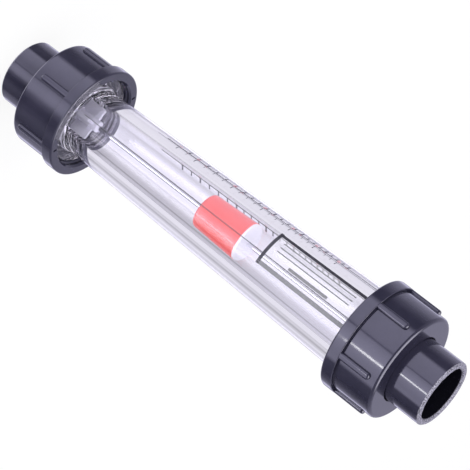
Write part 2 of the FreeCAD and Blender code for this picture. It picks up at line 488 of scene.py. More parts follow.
# The holders and stops are written greyer: painted shade, for how they look through the clear
# collar.
SHADED_GUIDE_WHITE = WhitePlastic("guide_moulding_painted_shade", "white_plastic", (0.62, 0.605, 0.70),
                           (0.52, 0.505, 0.60))
STEEL = DrawnSteel("drawn_steel", "steel")
RUBBER = BlackRubber("black_rubber", "rubber")
BLACK_INK = Ink("black_ink", "rubber")
RED_INK = Ink("red_ink", "red_plastic", (0.62, 0.10, 0.13), (0.80, 0.30, 0.33))
GREY_INK = Ink("grey_ink", "rubber", (0.20, 0.20, 0.21), (0.27, 0.27, 0.28))
DARK_LINE_TONE = Ink("dark_line_tone", "rubber", (0.07, 0.07, 0.08), (0.11, 0.11, 0.12))
FILM = LabelFilm("label_film", "white_plastic")


# ---------------------------------------------------------------- mesh tools


Corner = tuple[float, float, float]


def rounded_outline(corners: Sequence[Corner], steps: int = 6) -> list[tuple[float, float]]:
    """A closed outline with each corner turned into an arc.

    Args:
        corners: (radius from the axis, height, corner's rounding) in metres.
        steps: Segments of each arc.

    Returns:
        The outline's (radius, height) points.
    """
    points = []
    for index, (radius, height, size) in enumerate(corners):
        here = Vector((radius, height))
        before = Vector(corners[index - 1][:2]) - here
        after = Vector(corners[(index + 1) % len(corners)][:2]) - here
        if size <= 0:
            points.append((radius, height))
            continue
        before.normalize()
        after.normalize()
        half = before.angle(after) / 2
        if math.pi / 2 - half < 0.01:
            points.append((radius, height))
            continue
        reach = size / math.tan(half)
        centre = here + (before + after).normalized() * size / math.sin(half)
        start = here + before * reach - centre
        sweep = (here + after * reach - centre).angle_signed(start)
        for step in range(steps + 1):
            turned = centre + Matrix.Rotation(sweep * step / steps, 2) @ start
            points.append(tuple(turned))
    return points


def spun(outline: Sequence[tuple[float, float]], steps: int) -> bmesh.types.BMesh:
    """A closed body of revolution about Z.

    Args:
        outline: The closed section's (radius, height) points.
        steps: Segments round the axis.

    Returns:
        The new mesh, with its faces outwards.
    """
    mesh = bmesh.new()
    verts = [mesh.verts.new((radius, 0.0, height)) for radius, height in outline]
    edges = [mesh.edges.new((verts[index - 1], vert)) for index, vert in enumerate(verts)]
    bmesh.ops.spin(
        mesh,
        geom=verts + edges,
        cent=(0, 0, 0),
        axis=(0, 0, 1),
        angle=TURN,
        steps=steps,
        use_merge=True,
    )
    bmesh.ops.remove_doubles(mesh, verts=mesh.verts, dist=WELD)
    bmesh.ops.recalc_face_normals(mesh, faces=mesh.faces)
    return mesh


def cut_thread(mesh: bmesh.types.BMesh, radius: float, low: float, high: float, depth: float,
               pitch: float) -> None:
    """Presses a right-handed thread into a cylinder of fine rings.

    Args:
        mesh: The body of revolution.
        radius: The cylinder's radius.
        low: The thread's lowest height.
        high: Its highest height.
        depth: How far the groove goes in towards the axis; negative goes outwards.
        pitch: The rise of one turn.
    """
    for vert in mesh.verts:
        x, y, z = vert.co
        if not low <= z <= high or abs(math.hypot(x, y) - radius) > 0.05 * MM:
            continue
        phase = (z / pitch - math.atan2(y, x) / TURN) % 1.0
        ridge = abs(2 * phase - 1)
        groove = min(1.0, max(0.0, 1.7 * ridge - 0.35))
        fade = min(1.0, (z - low) / pitch, (high - z) / pitch)
        scale = 1 - depth * groove * fade / radius
        vert.co = (x * scale, y * scale, z)


def as_object(name: str, mesh: bmesh.types.BMesh, finish: Finish) -> bpy.types.Object:
    """Turns a bmesh into a smooth-shaded object with one finish.

    Args:
        name: The piece's name.
        mesh: Its mesh, which is freed.
        finish: Its finish.

    Returns:
        The object, at the origin.
    """
    data = bpy.data.meshes.new(name)
    mesh.to_mesh(data)
    mesh.free()
    data.shade_smooth()
    data.set_sharp_from_angle(angle=math.radians(SHARP_DEG))
    data.materials.append(finish.material())
    piece = bpy.data.objects.new(name, data)
    bpy.context.scene.collection.objects.link(piece)
    return piece


def weigh_normals(piece: bpy.types.Object) -> None:
    """Keeps broad flat faces flat beside their rounded edges."""
    modifier = piece.modifiers.new("even_shading", "WEIGHTED_NORMAL")
    modifier.keep_sharp = True
    modifier.weight = 60


def seat(piece: bpy.types.Object, body: str, finish: Finish, *nodes: str) -> None:
    """Rides a piece on its body, in place of CAD nodes if any are named."""
    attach(piece, body)
    if nodes:
        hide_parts(*nodes)
    LOG.info("%s rides on %s", piece.name, body)


def seat_solid(name: str, mesh: bmesh.types.BMesh, finish: Finish, body: str, *nodes: str) -> None:
    """Seats a solid piece with evenly shaded faces."""
    piece = as_object(name, mesh, finish)
    weigh_normals(piece)
    seat(piece, body, finish, *nodes)


class End(Enum):
    """Which end of the meter a union is at."""

    INLET = "inlet"
    OUTLET = "outlet"

    def height(self, from_end: float) -> float:
        """The height of a place given by its distance from this end's face."""
        return from_end if self is End.INLET else LENGTH - from_end

    def corners(self, corners: Iterable[Corner]) -> list[Corner]:
        """A section given from this end's face, as places in the frame."""
        return [(radius, self.height(depth), size) for radius, depth, size in corners]


# ---------------------------------------------------------------- the unions


@dataclass
class Connector:
    """The pipe socket of a union."""

    end: End
    socket_r: float = 16.1 * MM
    socket_depth: float = 22.0 * MM
    tail_r: float = 20.0 * MM
    waterway_r: float = 13.0 * MM
    lead: float = 1.1 * MM
    bevel: float = 1.0 * MM
    collar_r: float = 27.0 * MM
    collar_start: float = 26.6 * MM
    collar_end: float = 32.6 * MM
    groove: tuple = (21.6 * MM, 25.0 * MM, 2.8 * MM)

    def build(self) -> None:
        """Turns the socket, its lead-in, stop, waterway, collar and seal groove."""
        inner, outer, depth = self.groove
        corners = [
            (self.socket_r + self.lead, 0.0, 0.25 * MM),
            (self.tail_r - self.bevel, 0.0, 0.5 * MM),
            (self.tail_r, self.bevel, 0.5 * MM),
            (self.tail_r, self.collar_start, 0.0),
            (self.collar_r, self.collar_start, 0.3 * MM),
            (self.collar_r, self.collar_end, 0.6 * MM),
            (outer, self.collar_end, 0.0),
            (outer, self.collar_end - depth, 0.2 * MM),
            (inner, self.collar_end - depth, 0.2 * MM),
            (inner, self.collar_end, 0.0),
            (self.waterway_r, self.collar_end, 0.4 * MM),
            (self.waterway_r, self.socket_depth, 0.4 * MM),
            (self.socket_r, self.socket_depth, 0.3 * MM),
            (self.socket_r, self.lead, 0.2 * MM),
        ]
        outline = rounded_outline(self.end.corners(corners), 4)
        body = f"{self.end.value}_connector"
        seat_solid(f"{body}_socket", spun(outline, 160), DARK, body, body)


@dataclass
class UnionNut:
    """The ribbed nut of a union, with its thread and two moulding marks."""

    end: End
    turn_deg: float
    start: float = 22.6 * MM
    height: float = 32.8 * MM
    lip_h: float = 4.0 * MM
    lip_r: float = 20.5 * MM
    bore_r: float = 28.3 * MM
    body_r: float = 32.3 * MM
    shoulder: float = 2.1 * MM
    flange_r: float = 34.3 * MM
    flange_h: float = 7.6 * MM
    crease: float = 0.8 * MM
    crease_depth: float = 0.48 * MM
    thread_depth: float = 1.3 * MM
    thread_pitch: float = 3.0 * MM
    ring_count: int = 84
    rib_count: int = 6
    rib_w: float = 4.2 * MM
    rib_r: float = 34.2 * MM
    rib_length: float = 19.8 * MM
    rib_depth: float = 3.0 * MM
    rib_overlap: float = 1.5 * MM
    nose_share: float = 0.46
    rib_crest: float = 1.5 * MM
    mark_r: float = 31.0 * MM
    mark_size: tuple = (2.4 * MM, 1.3 * MM, 1.2 * MM)

    def shell(self) -> bmesh.types.BMesh:
        """The turned body with its inner thread."""
        top = self.start + self.height
        bore_start = self.start + self.lip_h
        flange = top - self.flange_h
        thread_end = top - 1.2 * MM
        corners = [
            (self.lip_r, self.start, 0.4 * MM),
            (self.body_r, self.start, self.shoulder),
            (self.body_r, flange - self.crease, 0.15 * MM),
            (self.body_r - self.crease_depth, flange - self.crease, 0.1 * MM),
            (self.body_r - self.crease_depth, flange, 0.1 * MM),
            (self.flange_r, flange, 0.5 * MM),
            (self.flange_r, top, 1.0 * MM),
            (self.bore_r + 0.8 * MM, top, 0.3 * MM),
        ]
        outline = rounded_outline(self.end.corners(corners), 7)
        span = thread_end - bore_start
        rings = [(self.bore_r, self.end.height(thread_end - span * index / self.ring_count))
                 for index in range(self.ring_count + 1)]
        closing = [(self.lip_r, self.end.height(bore_start))]
        mesh = spun(outline + rings + closing, 192)
        low, high = sorted((self.end.height(bore_start), self.end.height(thread_end)))
        cut_thread(mesh, self.bore_r, low, high, -self.thread_depth, self.thread_pitch)
        return mesh

    def add_rib(self, mesh: bmesh.types.BMesh, angle: float) -> None:
        """Adds one grip rib with a round nose, running into the flange."""
        depth = self.rib_depth
        flange = self.start + self.height - self.flange_h
        low = flange - self.rib_length
        length = self.rib_length + self.rib_overlap
        verts = bmesh.ops.create_cube(mesh, size=1.0)["verts"]
        bmesh.ops.scale(mesh, vec=(depth, self.rib_w, length), verts=verts)
        nose = [edge for edge in {e for v in verts for e in v.link_edges}
                if all(v.co.z < 0 for v in edge.verts)
                and abs(edge.verts[0].co.x - edge.verts[1].co.x) > depth / 2]
        bevelled = bmesh.ops.bevel(mesh, geom=nose, offset=self.rib_w * self.nose_share, segments=8,
                                   profile=0.5, affect="EDGES", material=-1)
        verts = list({v for v in verts if v.is_valid} | set(bevelled["verts"]))
        faces = {f for v in verts for f in v.link_faces}
        crest = [edge for edge in {e for f in faces for e in f.edges}
                 if all(v.co.x > depth * 0.49 for v in edge.verts)]
        bevelled = bmesh.ops.bevel(mesh, geom=crest, offset=self.rib_crest, segments=8,
                                   profile=0.5, affect="EDGES", material=-1)
        verts = list({v for v in verts if v.is_valid} | set(bevelled["verts"]))
        centre = low + length / 2
        place = Vector((self.rib_r - depth / 2, 0, centre))
        bmesh.ops.translate(mesh, vec=place, verts=verts)
        if self.end is End.OUTLET:
            bmesh.ops.scale(mesh, vec=(1, 1, -1), verts=verts)
            bmesh.ops.translate(mesh, vec=(0, 0, LENGTH), verts=verts)
            bmesh.ops.reverse_faces(mesh, faces=list({f for v in verts for f in v.link_faces}))
        bmesh.ops.rotate(mesh, cent=(0, 0, 0), matrix=Matrix.Rotation(angle, 3, "Z"), verts=verts)

    def cut_marks(self, piece: bpy.types.Object) -> None:
        """Sinks two small moulding marks in the flange's face."""
        length, width, depth = self.mark_size
        cutter = bmesh.new()
        for side in (1, -1):
            verts = bmesh.ops.create_cube(cutter, size=1.0)["verts"]
            bmesh.ops.scale(cutter, vec=(length, width, depth * 2), verts=verts)
            place = (side * self.mark_r, 0, self.end.height(self.start + self.height))
            bmesh.ops.translate(cutter, vec=place, verts=verts)
        turn = Matrix.Rotation(math.radians(self.turn_deg), 3, "Z")
        bmesh.ops.rotate(cutter, cent=(0, 0, 0), matrix=turn, verts=cutter.verts)
        tool = as_object("mark_cutter", cutter, DARK)
        modifier = piece.modifiers.new("marks", "BOOLEAN")
        modifier.operation = "DIFFERENCE"
        modifier.solver = "EXACT"
        modifier.object = tool
        bake_modifiers(piece)
        bpy.data.objects.remove(tool)

    def build(self) -> None:
        """Builds the nut, with its marks and then its ribs."""
        body = f"{self.end.value}_nut"
        plain = as_object(f"{body}_blank", self.shell(), DARK)
        self.cut_marks(plain)
        mesh = bmesh.new()
        mesh.from_mesh(plain.data)
        bpy.data.objects.remove(plain)
        for index in range(self.rib_count):
            self.add_rib(mesh, math.radians(self.turn_deg) + TURN * index / self.rib_count)
        seat_solid(f"{body}_shell", mesh, DARK, body, f"{self.end.value}_union_nut")


def bake_modifiers(piece: bpy.types.Object) -> None:
    """Replaces a piece's mesh by the one its modifiers make."""
    depsgraph = bpy.context.evaluated_depsgraph_get()
    done = bpy.data.meshes.new_from_object(piece.evaluated_get(depsgraph))
    piece.modifiers.clear()
    piece.data = done


# ---------------------------------------------------------------- tube, rod and float


@dataclass
class MeteringTube:
    """The clear tapered tube with its threaded collars."""

    start: float = 32.6 * MM
    collar_r: float = 28.0 * MM
    collar_h: float = 18.6 * MM
    inlet_r: float = 20.3 * MM
    outlet_r: float = 25.35 * MM
    bore_inlet_r: float = 12.5 * MM
    bore_outlet_r: float = 16.75 * MM
    bore_start: float = 44.0 * MM
    seat_r: float = 20.0 * MM
    seat_depth: float = 8.4 * MM
    bore_lead: float = 1.0 * MM
    bevel: float = 0.9 * MM
    thread_depth: float = 1.3 * MM
    thread_pitch: float = 3.0 * MM
    ring_count: int = 60

    def radius(self, height: float) -> float:
        """The tube's outer radius between its collars."""
        low = self.start + self.collar_h
        share = (height - low) / (LENGTH - 2 * low)
        return self.inlet_r + (self.outlet_r - self.inlet_r) * share

    def thread_rings(self, low: float, high: float) -> list[tuple[float, float]]:
        """Fine rings up a collar, for the thread."""
        return [(self.collar_r, low + (high - low) * index / self.ring_count)
                for index in range(self.ring_count + 1)]

    def build(self) -> None:
        """Turns the wall, cuts both threads and seats the tube."""
        low = self.start + self.collar_h
        inlet = (self.start + self.bevel, low - self.bevel)
        outlet = (LENGTH - low + self.bevel, LENGTH - self.start - self.bevel)
        root = rounded_outline([
            (self.collar_r - self.bevel, low, 0.0),
            (self.inlet_r, low, 2.0 * MM),
            (self.outlet_r, LENGTH - low, 1.2 * MM),
            (self.collar_r - self.bevel, LENGTH - low, 0.0),
            (self.collar_r * 0.5, LENGTH / 2, 0.0),
        ])[:-1]
        bore = rounded_outline([
            (self.seat_r, LENGTH - self.start, 0.0),
            (self.seat_r, LENGTH - self.start - self.seat_depth, 0.3 * MM),
            (self.bore_outlet_r + self.bore_lead, LENGTH - self.start - self.seat_depth, 0.4 * MM),
            (self.bore_outlet_r, LENGTH - self.bore_start, 1.0 * MM),
            (self.bore_inlet_r, self.bore_start, 1.0 * MM),
            (self.bore_inlet_r + self.bore_lead, self.start + self.seat_depth, 0.4 * MM),
            (self.seat_r, self.start + self.seat_depth, 0.3 * MM),
            (self.seat_r, self.start, 0.0),
        ])
        outline = [(self.collar_r - self.bevel, self.start)]
        outline += self.thread_rings(*inlet)
        outline += root
        outline += self.thread_rings(*outlet)
        outline += [(self.collar_r - self.bevel, LENGTH - self.start)]
        outline += bore
        mesh = spun(outline, 256)
        for ends in (inlet, outlet):
            cut_thread(mesh, self.collar_r, *ends, self.thread_depth, self.thread_pitch)
        seat_solid("clear_tube", mesh, CLEAR, "body", "metering_tube")


@dataclass
class GuideWork:
    """The rod with its spoked holders and the float stops."""

    rod_r: float = 1.5 * MM
    rod_bevel: float = 0.4 * MM
    holder_r: float = 19.8 * MM
    rim_w: float = 2.8 * MM
    rim_start: float = 32.6 * MM
    rim_end: float = 41.0 * MM
    hub_r: float = 4.5 * MM
    hub: tuple = (36.0 * MM, 46.0 * MM)
    hub_hole_r: float = 1.55 * MM
    spoke_count: int = 4
    spoke_w: float = 2.6 * MM
    spoke_h: float = 4.0 * MM
    spoke_root: float = 1.0 * MM
    spoke_inset: float = 0.02 * MM
    spoke_bevel: float = 0.4 * MM
    stop_r: float = 3.4 * MM
    stop_top: float = 60.6 * MM
    vane_count: int = 4
    vane_reach: float = 10.2 * MM
    vane_w: float = 2.0 * MM
    vane_root: float = 0.5 * MM
    vane_top: float = 57.6 * MM
    vane_corner: float = 0.8 * MM

    def rod(self) -> None:
        """The guide rod with bevelled ends."""
        low, high = (corner[2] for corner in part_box("guide_rod"))
        mesh = bmesh.new()
        made = bmesh.ops.create_cone(mesh, cap_ends=True, segments=48, radius1=self.rod_r,
                                     radius2=self.rod_r, depth=high - low)
        ends = [edge for edge in mesh.edges if abs(edge.verts[0].co.z - edge.verts[1].co.z) < 1e-6]
        bmesh.ops.bevel(mesh, geom=ends, offset=self.rod_bevel, segments=2, profile=0.5,
                        affect="EDGES", material=-1)
        bmesh.ops.translate(mesh, vec=(0, 0, (low + high) / 2), verts=mesh.verts)
        seat_solid("polished_rod", mesh, STEEL, "body", "guide_rod")

    def holder(self, end: End) -> None:
        """A rim, a hub and spokes, moulded in one."""
        inner = self.holder_r - self.rim_w
        rim = end.corners([
            (inner, self.rim_start, 0.3 * MM),
            (self.holder_r, self.rim_start, 0.3 * MM),
            (self.holder_r, self.rim_end, 0.3 * MM),
            (inner, self.rim_end, 0.5 * MM),
        ])
        hub = end.corners([
            (self.hub_hole_r, self.hub[0], 0.0),
            (self.hub_r, self.hub[0], 0.3 * MM),
            (self.hub_r, self.hub[1], 0.3 * MM),
            (self.hub_hole_r, self.hub[1], 0.0),
        ])
        mesh = spun(rounded_outline(rim, 4), 128)
        join(mesh, spun(rounded_outline(hub, 4), 64))
        reach = inner - self.hub_r + 2 * self.spoke_root
        middle = end.height(self.rim_end - self.spoke_h / 2)
        spoke = bmesh.new()
        bmesh.ops.create_cube(spoke, size=1.0)
        size = (reach, self.spoke_w, self.spoke_h - self.spoke_inset)
        bmesh.ops.scale(spoke, vec=size, verts=spoke.verts)
        bmesh.ops.bevel(spoke, geom=spoke.edges, offset=self.spoke_bevel, segments=3,
                        profile=0.5, affect="EDGES", material=-1)
        place = (self.hub_r - self.spoke_root + reach / 2, 0, middle)
        bmesh.ops.translate(spoke, vec=place, verts=spoke.verts)
        join_round(mesh, spoke, self.spoke_count)
        seat_solid(f"{end.value}_rod_spider", mesh, SHADED_GUIDE_WHITE, "body", f"{end.value}_rod_holder")

    def stop(self, end: End) -> None:
        """A float stop: a hub round the rod with vanes that stand out to the bore."""
        low = self.hub[1]
        sleeve = end.corners([
            (self.rod_r, low, 0.0),
            (self.stop_r, low, 0.3 * MM),
            (self.stop_r, self.stop_top, 0.5 * MM),
            (self.rod_r, self.stop_top, 0.0),
        ])
        mesh = spun(rounded_outline(sleeve, 5), 96)
        inside = self.rod_r + self.vane_root
        towards_float = 1 if end is End.INLET else -1
        middle = end.height((low + self.vane_top) / 2)
        vane = bmesh.new()
        bmesh.ops.create_cube(vane, size=1.0)
        size = (self.vane_reach - inside, self.vane_w, self.vane_top - low)
        bmesh.ops.scale(vane, vec=size, verts=vane.verts)
        tip = [edge for edge in vane.edges
               if all(vert.co.x > 0 and vert.co.z * towards_float > 0 for vert in edge.verts)]
        bmesh.ops.bevel(vane, geom=tip, offset=self.vane_corner, segments=4, profile=0.5,
                        affect="EDGES", material=-1)
        bmesh.ops.translate(vane, vec=(inside + size[0] / 2, 0, middle), verts=vane.verts)
        join_round(mesh, vane, self.vane_count)
        seat_solid(f"{end.value}_stop_vanes", mesh, SHADED_GUIDE_WHITE, "body", f"{end.value}_float_stop")

    def build(self) -> None:
        """Builds the rod, both holders and both stops."""
        self.rod()
        for end in End:
            self.holder(end)
            self.stop(end)


def join(mesh: bmesh.types.BMesh, other: bmesh.types.BMesh) -> None:
    """Adds another mesh's geometry to a mesh, and frees the other."""
    data = bpy.data.meshes.new("joined")
    other.to_mesh(data)
    other.free()
    mesh.from_mesh(data)
    bpy.data.meshes.remove(data)


def join_round(mesh: bmesh.types.BMesh, part: bmesh.types.BMesh, count: int) -> None:
    """Adds copies of a part to a mesh, evenly round the axis, and frees the part."""
    for index in range(count):
        copy = part.copy()
        turn = Matrix.Rotation(TURN * index / count, 3, "Z")
        bmesh.ops.rotate(copy, cent=(0, 0, 0), matrix=turn, verts=copy.verts)
        join(mesh, copy)
    part.free()


@dataclass
class Float:
    """The red float with its white cap."""

    bottom: float = 142.4 * MM
    top: float = 175.4 * MM
    bottom_r: float = 10.6 * MM
    top_r: float = 11.9 * MM
    cap_h: float = 1.5 * MM
    cap_r: float = 11.6 * MM
    bush_r: float = 2.9 * MM
    hole_r: float = 2.0 * MM
    ballast: tuple = (4.0 * MM, 8.9 * MM, 147.3 * MM)
    spigot_h: float = 2.2 * MM
    lower_bush_h: float = 3.0 * MM
    spigot_fit: float = 0.1 * MM
    tube_drop: float = 1.0 * MM

    def shell(self) -> None:
        """The cup that widens to its reading edge."""
        inner, outer, floor = self.ballast
        rim = self.top - self.cap_h
        tube_top = rim - self.spigot_h - self.tube_drop
        corners = [
            (self.bush_r, self.bottom, 0.0),
            (self.bottom_r, self.bottom, 3.0 * MM),
            (self.top_r, rim, 0.25 * MM),
            (outer, rim, 0.0),
            (outer, floor, 0.5 * MM),
            (inner, floor, 0.5 * MM),
            (inner, tube_top, 0.0),
            (self.hole_r, tube_top, 0.0),
            (self.hole_r, self.bottom + self.lower_bush_h, 0.0),
            (self.bush_r, self.bottom + self.lower_bush_h, 0.0),
        ]
        mesh = spun(rounded_outline(corners, 10), 160)
        seat_solid("float_red_cup", mesh, RED, "float", "float_shell")

    def cap(self) -> None:
        """The white lid with its spigot."""
        rim = self.top - self.cap_h
        spigot_r = self.ballast[1] - self.spigot_fit
        corners = [
            (self.bush_r, rim - self.spigot_h, 0.0),
            (spigot_r, rim - self.spigot_h, 0.2 * MM),
            (spigot_r, rim, 0.0),
            (self.cap_r, rim, 0.0),
            (self.cap_r, self.top, 0.5 * MM),
            (self.bush_r, self.top, 0.0),
        ]
        mesh = spun(rounded_outline(corners, 5), 160)
        seat_solid("float_white_lid", mesh, WHITE, "float", "float_cap")

    def build(self) -> None:
        """Builds the cup and the lid."""
        self.shell()
        self.cap()


# ---------------------------------------------------------------- print


@dataclass
class Wrap:
    """Lays flat print round the tube, just under its surface."""

    tube: MeteringTube
    inset: float = 0.06 * MM
    thickness: float = 0.04 * MM
    facet_w: float = 1.0 * MM
    facet_l: float = 6.0 * MM

    def strip(self, mesh: bmesh.types.BMesh, angle: float, height: float, width: float,
              length: float) -> None:
        """Adds a flat rectangle.

        Args:
            mesh: The print's mesh, with X along the circumference in radians and Z up.
            angle: The rectangle's middle, round the tube.
            height: Its middle, up the tube.
            width: Its size round the tube, in metres.
            length: Its size up the tube, in metres.
        """
        radius = self.tube.radius(height)
        across = max(1, round(width / self.facet_w))
        along = max(1, round(length / self.facet_l))
        made = bmesh.ops.create_grid(mesh, x_segments=across, y_segments=along, size=0.5)
        bmesh.ops.scale(mesh, vec=(width / radius, length, 1), verts=made["verts"])
        bmesh.ops.translate(mesh, vec=(angle, height, 0), verts=made["verts"])

    def text(self, mesh: bmesh.types.BMesh, words: str, angle: float, height: float,
             size: float) -> None:
        """Adds upright figures at a place on the tube."""
        curve = bpy.data.curves.new("figures", "FONT")
        curve.body = words
        curve.size = size
        curve.align_x = "CENTER"
        curve.align_y = "CENTER"
        maker = bpy.data.objects.new("figures", curve)
        bpy.context.scene.collection.objects.link(maker)
        flat = bpy.data.meshes.new_from_object(maker)
        bpy.data.objects.remove(maker)
        radius = self.tube.radius(height)
        squeeze = Matrix.Diagonal((1 / radius, 1, 1, 1))
        flat.transform(Matrix.Translation((angle, height, 0)) @ squeeze)
        mesh.from_mesh(flat)
        bpy.data.meshes.remove(flat)

    def laid(self, mesh: bmesh.types.BMesh) -> None:
        """Gives the flat print its thickness and bends it round the tube."""
        bmesh.ops.triangulate(mesh, faces=mesh.faces)
        made = bmesh.ops.extrude_face_region(mesh, geom=mesh.faces[:])
        raised = [item for item in made["geom"] if isinstance(item, bmesh.types.BMVert)]
        bmesh.ops.translate(mesh, vec=(0, 0, self.thickness), verts=raised)
        for vert in mesh.verts:
            angle, height, lift = vert.co
            radius = self.tube.radius(height) - self.inset + lift
            vert.co = (radius * math.cos(angle), radius * math.sin(angle), height)
        bmesh.ops.recalc_face_normals(mesh, faces=mesh.faces)


@dataclass
class Seam:
    """Fine dark lines up both sides of the tube."""

    wrap: Wrap
    angles_deg: tuple = (-2.4, 177.6)
    width: float = 0.4 * MM
    margin: float = 6.0 * MM

    def build(self) -> None:
        """Lays both lines between the collars."""
        low = self.wrap.tube.start + self.wrap.tube.collar_h + self.margin
        mesh = bmesh.new()
        for angle in self.angles_deg:
            self.wrap.strip(mesh, math.radians(angle), LENGTH / 2, self.width, LENGTH - 2 * low)
        self.wrap.laid(mesh)
        seat(as_object("dark_tube_lines", mesh, DARK_LINE_TONE), "body", DARK_LINE_TONE)


@dataclass
class ScalePrint:
    """Two scale lines with ticks and plain numbers."""

    wrap: Wrap
    lines_deg: tuple = (-59.0, -117.0)
    marks: tuple = ((5, 110.7), (10, 124.2), (20, 151.3), (30, 173.1), (40, 193.2), (50, 210.3),
                    (60, 225.9))
    minor_count: tuple = (2, 4, 4, 4, 4, 4)
    line_span: tuple = (95.0 * MM, 257.0 * MM)
    line_w: tuple = (0.38 * MM, 1.8 * MM)
    tick_w: tuple = (0.36 * MM, 0.9 * MM)
    major_share: float = 1.3
    minor_l: tuple = (2.2 * MM, 6.4 * MM)
    major_l: tuple = (3.0 * MM, 7.2 * MM)
    figure_size: float = 3.0 * MM
    figure_gap: float = 2.0 * MM

    def build(self) -> None:
        """Prints both lines with ticks outwards and figures inwards."""
        ink = bmesh.new()
        figures = bmesh.new()
        middle = sum(self.line_span) / 2
        length = self.line_span[1] - self.line_span[0]
        for row, side in enumerate((1, -1)):
            line = math.radians(self.lines_deg[row])
            self.wrap.strip(ink, line, middle, self.line_w[row], length)
            self.ticks(ink, row, line, side)
            self.figures(figures, line, side)
        self.wrap.laid(ink)
        self.wrap.laid(figures)
        seat(as_object("scale_lines", ink, BLACK_INK), "body", BLACK_INK)
        seat(as_object("scale_figures", figures, RED_INK), "body", RED_INK)

    def ticks(self, mesh: bmesh.types.BMesh, row: int, line: float, side: int) -> None:
        """Ticks of one line: a long one at each number, and short ones between."""
        for (_, low), (_, high), count in zip(self.marks, self.marks[1:], self.minor_count):
            for step in range(count):
                height = (low + (high - low) * step / count) * MM
                size = self.minor_l[row] if step else self.major_l[row]
                width = self.tick_w[row] * (1 if step else self.major_share)
                self.tick(mesh, line, side, height, size, width)
        last = self.marks[-1][1] * MM
        self.tick(mesh, line, side, last, self.major_l[row], self.tick_w[row] * self.major_share)

    def tick(self, mesh: bmesh.types.BMesh, line: float, side: int, height: float, length: float,
             width: float) -> None:
        """One tick, from the line outwards."""
        offset = side * length / 2 / self.wrap.tube.radius(height)
        self.wrap.strip(mesh, line + offset, height, length, width)

    def figures(self, mesh: bmesh.types.BMesh, line: float, side: int) -> None:
        """The number beside each long tick, on the line's inner side."""
        for number, height in self.marks:
            place = height * MM
            offset = -side * self.figure_gap / self.wrap.tube.radius(place)
            self.wrap.text(mesh, str(number), line + offset, place, self.figure_size)


@dataclass
class LabelPrint:
    """A printed frame on a thin film, with bare ruled lines."""

    wrap: Wrap
    angles_deg: tuple = (-40.0, 12.0)
    span: tuple = (193.0 * MM, 259.0 * MM)
    border: float = 2.0 * MM
    lower_border: float = 2.5 * MM
    rules_deg: tuple = (-29.0, -22.0, -15.5)
    rule_w: float = 0.7 * MM
    heading_deg: float = -6.0
    heading_bar: tuple = (1.7 * MM, 0.54)
    rules_span: tuple = (199.0 * MM, 250.0 * MM)
    lift: float = 0.05 * MM
    ink_depth: float = 0.03 * MM

    def build(self) -> None:
        """Lays the film, the frame and the ruled lines."""
        left, right = (math.radians(angle) for angle in self.angles_deg)
        low, high = self.span
        middle = (low + high) / 2
        radius = self.wrap.tube.radius(middle)
        width = (right - left) * radius
        film = bmesh.new()
        self.wrap.strip(film, (left + right) / 2, middle, width, high - low)
        self.wrap.laid(film)
        seat(as_object("label_film", film, FILM), "body", FILM)
        border = bmesh.new()
        half = self.border / 2 / radius
        self.wrap.strip(border, left + half, middle, self.border, high - low)
        self.wrap.strip(border, (left + right) / 2, low + self.border / 2, width, self.border)
        raised = Wrap(self.wrap.tube, self.wrap.inset - self.lift, self.ink_depth)
        raised.laid(border)
        seat(as_object("label_border", border, BLACK_INK), "body", BLACK_INK)
        rules = bmesh.new()
        raised.strip(rules, right - half, middle, self.lower_border, high - low)
        start, end = self.rules_span
        for angle in self.rules_deg:
            raised.strip(rules, math.radians(angle), (start + end) / 2, self.rule_w, end - start)
        bar_w, bar_share = self.heading_bar
        angle = math.radians(self.heading_deg)
        raised.strip(rules, angle, (start + end) / 2, bar_w, (end - start) * bar_share)
        raised.laid(rules)
        seat(as_object("label_rules", rules, GREY_INK), "body", GREY_INK)


# ---------------------------------------------------------------- studio


# Light by direction, as (degrees from the camera, level), and the tints it takes. Gloss sees the
# walls and the sky, and clear plastic sees CLEAR_BANDS. Camera rays and paint see none of it. This
# is staging and not plain light: levels over 1 are brighter than white.
HIGH_BANDS = (
    (-180, 0.4), (-166, 0.4), (-162, 1.3), (-152, 1.3), (-148, 0.9), (-120, 0.9), (-100, 0.4),
    (-88, 0.1), (-68, 0.1), (-58, 2.5), (-8, 2.3), (-4, 1.9), (-3.2, 0.3), (-1.8, 0.3), (-1, 2.6),
    (14, 3.5), (26, 4.0), (40, 3.2), (56, 2.6), (72, 2.6), (80, 0.3), (112, 0.05), (130, 0.3),
    (146, 0.7), (150, 1.5), (160, 1.5), (164, 0.4), (180, 0.4),
)
LOW_BANDS = (
    (-180, 0.4), (-166, 0.4), (-162, 1.3), (-152, 1.3), (-148, 1.0), (-115, 0.9), (-100, 0.3),
    (-72, 0.2), (-63, 2.6), (-42, 2.4), (-20, 1.8), (-8, 1.9), (-4, 1.9), (-3.2, 0.3),
    (-1.8, 0.3), (-1, 2.4), (12, 3.1), (22, 2.8), (32, 0.9), (42, 0.2), (52, 0.1), (74, 0.5),
    (98, 0.2), (114, 0.7), (146, 0.7), (150, 1.5), (160, 1.5), (164, 0.4), (180, 0.4),
)
SKY_BANDS = (
    (-180, 0.85), (-140, 0.8), (-90, 0.5), (-30, 0.25), (30, 0.25), (90, 0.45), (140, 0.75),
    (180, 0.85),
)
CLEAR_BANDS = (
    (-180, 0.94), (-174, 0.88), (-168, 0.8), (-165, 0.66), (-161, 0.86), (-113, 0.92), (-108, 0.5),
    (-102, 0.5), (-97, 0.95), (-10, 0.95), (-3, 0.9), (20, 1.0), (26, 1.4), (34, 5.5), (50, 5.5),
    (62, 1.4), (70, 0.3), (76, 0.05), (103, 0.05), (109, 0.9), (134.5, 0.92), (135.5, 0.3),
    (137, 0.3), (138, 0.85), (153, 0.6), (154, 0.3), (156, 0.3), (157, 0.62), (167, 0.72),
    (173, 0.78), (175, 0.94), (180, 0.94),
)
GLOSS_TINT = (0.92, 0.89, 1.18)
